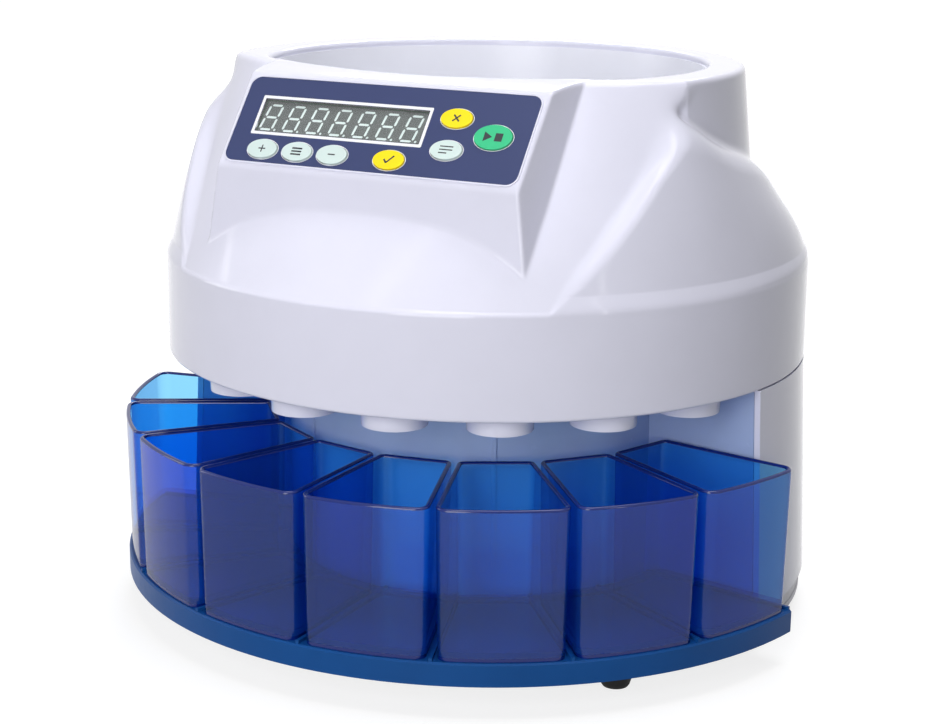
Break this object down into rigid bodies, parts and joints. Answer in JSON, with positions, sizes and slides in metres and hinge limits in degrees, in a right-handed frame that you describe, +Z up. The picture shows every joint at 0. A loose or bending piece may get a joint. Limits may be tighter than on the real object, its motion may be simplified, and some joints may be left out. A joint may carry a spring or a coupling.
{
  "type": "coin sorter",
  "caption": "Counter-top coin sorter: round white cover with a hopper and keypad console over a fan of clear blue pull-out coin cups on a blue tray.",
  "frame": {"origin": "on the desk, at the middle of the part's footprint", "axes": "+Z up, the console and the cups face -Y, +X to the right seen from the front"},
  "size_m": [0.349, 0.3374, 0.263],
  "materials": {
    "white_plastic": "glossy moulded plastic",
    "grey_plastic": "moulded plastic",
    "column_plastic": "moulded plastic",
    "blue_plastic": "satin moulded plastic",
    "clear_blue": "clear tinted plastic",
    "rubber": "moulded rubber",
    "panel_film": "printed film",
    "display_window": "clear window",
    "display_body": "moulded digit block",
    "circuit_board": "solder mask",
    "steel": "brushed",
    "black_plastic": "moulded plastic",
    "wheel_plastic": "moulded plastic",
    "aluminium": "turned",
    "nylon": "moulded nylon",
    "motor_steel": "plated can",
    "transformer_iron": "varnished laminations",
    "brass": "plated blades",
    "key_mint": "printed film",
    "key_yellow": "printed film",
    "key_green": "printed film"
  },
  "bodies": {
    "chassis": {"base_plate": "grey_plastic", "rubber_feet": "rubber", "coin_tray": "blue_plastic", "column_cover": "column_plastic", "rear_housing": "white_plastic", "top_cover": "white_plastic", "hopper_bowl": "white_plastic", "control_panel": "panel_film", "display_window": "display_window", "display_module": "display_body", "keypad_board": "circuit_board", "chute_deck": "white_plastic", "sorting_plate": "steel", "sorting_posts": "steel", "coin_sensors": "black_plastic", "spindle_bearings": "steel", "bearing_housing": "aluminium", "gear_motor": "motor_steel", "main_board": "circuit_board", "transformer": "transformer_iron", "power_inlet": "black_plastic", "inlet_pins": "brass", "switch_frame": "black_plastic", "printer_socket": "black_plastic", "deck_screws": "steel", "cover_screws": "steel", "base_screws": "steel", "coin_tube_1": "white_plastic", "coin_tube_2": "white_plastic", "coin_tube_3": "white_plastic", "coin_tube_4": "white_plastic", "coin_tube_5": "white_plastic", "coin_tube_6": "white_plastic", "coin_tube_7": "white_plastic", "coin_tube_8": "white_plastic"},
    "rotor": {"spindle": "steel", "drive_gear": "nylon", "finger_wheel": "wheel_plastic", "feed_disc": "steel", "hub_cap": "black_plastic"},
    "pinion": {"motor_pinion": "steel"},
    "rocker": {"power_rocker": "black_plastic"},
    "coin_cup_1": {"coin_cup_1": "clear_blue"},
    "coin_cup_2": {"coin_cup_2": "clear_blue"},
    "coin_cup_3": {"coin_cup_3": "clear_blue"},
    "coin_cup_4": {"coin_cup_4": "clear_blue"},
    "coin_cup_5": {"coin_cup_5": "clear_blue"},
    "coin_cup_6": {"coin_cup_6": "clear_blue"},
    "coin_cup_7": {"coin_cup_7": "clear_blue"},
    "coin_cup_8": {"coin_cup_8": "clear_blue"},
    "plus_key": {"plus_key": "key_mint"},
    "batch_key": {"batch_key": "key_mint"},
    "minus_key": {"minus_key": "key_mint"},
    "set_key": {"set_key": "key_yellow"},
    "clear_key": {"clear_key": "key_yellow"},
    "report_key": {"report_key": "key_mint"},
    "start_key": {"start_key": "key_green"}
  },
  "joints": [
    {"name": "feed_spin", "type": "hinge", "parent": "chassis", "child": "rotor", "pos_m": [0, 0.00875, 0.15], "axis": [0, 0, 1], "continuous": true},
    {"name": "pinion_spin", "type": "hinge", "parent": "chassis", "child": "pinion", "pos_m": [0, 0.07475, 0.135], "axis": [0, 0, 1], "continuous": true},
    {"name": "rocker_tip", "type": "hinge", "parent": "chassis", "child": "rocker", "pos_m": [0.014, 0.15457, 0.049], "axis": [1, 0, 0], "range_deg": [-16, 0]},
    {"name": "cup_1_pull", "type": "slide", "parent": "chassis", "child": "coin_cup_1", "axis": [-0.9365, -0.3506, 0], "range_m": [0, 0.06]},
    {"name": "cup_2_pull", "type": "slide", "parent": "chassis", "child": "coin_cup_2", "axis": [-0.7618, -0.6478, 0], "range_m": [0, 0.06]},
    {"name": "cup_3_pull", "type": "slide", "parent": "chassis", "child": "coin_cup_3", "axis": [-0.4966, -0.868, 0], "range_m": [0, 0.06]},
    {"name": "cup_4_pull", "type": "slide", "parent": "chassis", "child": "coin_cup_4", "axis": [-0.1724, -0.985, 0], "range_m": [0, 0.06]},
    {"name": "cup_5_pull", "type": "slide", "parent": "chassis", "child": "coin_cup_5", "axis": [0.1724, -0.985, 0], "range_m": [0, 0.06]},
    {"name": "cup_6_pull", "type": "slide", "parent": "chassis", "child": "coin_cup_6", "axis": [0.4966, -0.868, 0], "range_m": [0, 0.06]},
    {"name": "cup_7_pull", "type": "slide", "parent": "chassis", "child": "coin_cup_7", "axis": [0.7618, -0.6478, 0], "range_m": [0, 0.06]},
    {"name": "cup_8_pull", "type": "slide", "parent": "chassis", "child": "coin_cup_8", "axis": [0.9365, -0.3506, 0], "range_m": [0, 0.06]},
    {"name": "plus_press", "type": "slide", "parent": "chassis", "child": "plus_key", "axis": [0, 0.7902, -0.6129], "range_m": [0, 0.0005], "stiffness_N_per_m": 2000},
    {"name": "batch_press", "type": "slide", "parent": "chassis", "child": "batch_key", "axis": [0, 0.7902, -0.6129], "range_m": [0, 0.0005], "stiffness_N_per_m": 2000},
    {"name": "minus_press", "type": "slide", "parent": "chassis", "child": "minus_key", "axis": [0, 0.7902, -0.6129], "range_m": [0, 0.0005], "stiffness_N_per_m": 2000},
    {"name": "set_press", "type": "slide", "parent": "chassis", "child": "set_key", "axis": [0, 0.7902, -0.6129], "range_m": [0, 0.0005], "stiffness_N_per_m": 2000},
    {"name": "clear_press", "type": "slide", "parent": "chassis", "child": "clear_key", "axis": [0, 0.7902, -0.6129], "range_m": [0, 0.0005], "stiffness_N_per_m": 2000},
    {"name": "report_press", "type": "slide", "parent": "chassis", "child": "report_key", "axis": [0, 0.7902, -0.6129], "range_m": [0, 0.0005], "stiffness_N_per_m": 2000},
    {"name": "start_press", "type": "slide", "parent": "chassis", "child": "start_key", "axis": [0, 0.7902, -0.6129], "range_m": [0, 0.0005], "stiffness_N_per_m": 2000}
  ],
  "couplings": [
    {"joint": "pinion_spin", "follows": "feed_spin", "ratio": -4.5}
  ]
}
